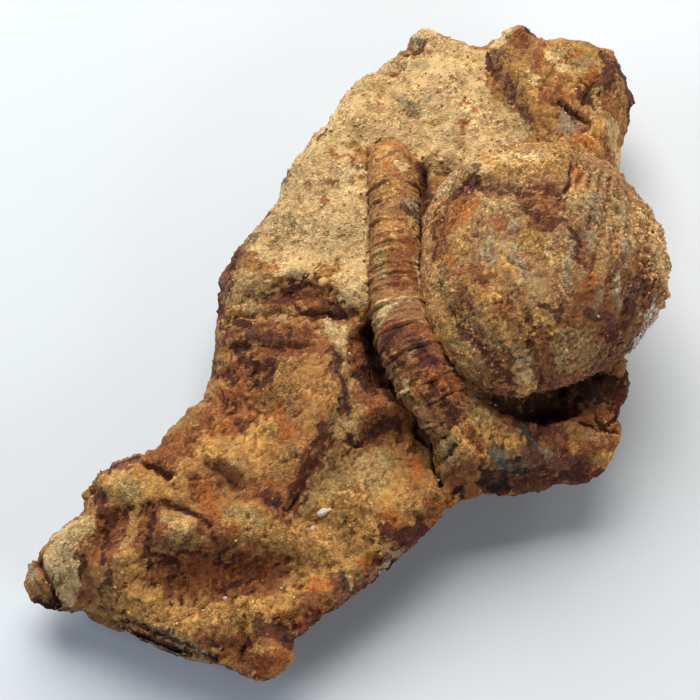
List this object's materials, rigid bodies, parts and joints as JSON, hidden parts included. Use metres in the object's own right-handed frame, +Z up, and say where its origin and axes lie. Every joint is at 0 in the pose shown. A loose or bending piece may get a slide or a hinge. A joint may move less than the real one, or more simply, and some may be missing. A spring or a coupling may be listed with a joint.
{
  "type": "fossil crinoid stem and brachiopod in matrix",
  "caption": "Loose slab of iron-stained siltstone carrying a curved ringed crinoid stem beside a domed brachiopod shell, to lie on a shelf or in a tray.",
  "frame": {"origin": "middle of the whole specimen's outline, on the plane that the stone rests on", "axes": "+Z up from the resting plane, +Y along the slab's longer side from its tapered end to its broad end, +X to the side that the shell is on"},
  "size_m": [0.0643, 0.0722, 0.0236],
  "materials": {
    "siltstone": "broken, sandy, matt, stained ochre to dark rust",
    "stem_calcite": "fossil calcite, matt, rust-stained ring discs",
    "shell_calcite": "weathered fossil shell, matt, sand still stuck to it"
  },
  "bodies": {
    "root": {"matrix_rock": "siltstone", "crinoid_stem": "stem_calcite", "brachiopod_shell": "shell_calcite"}
  },
  "joints": []
}
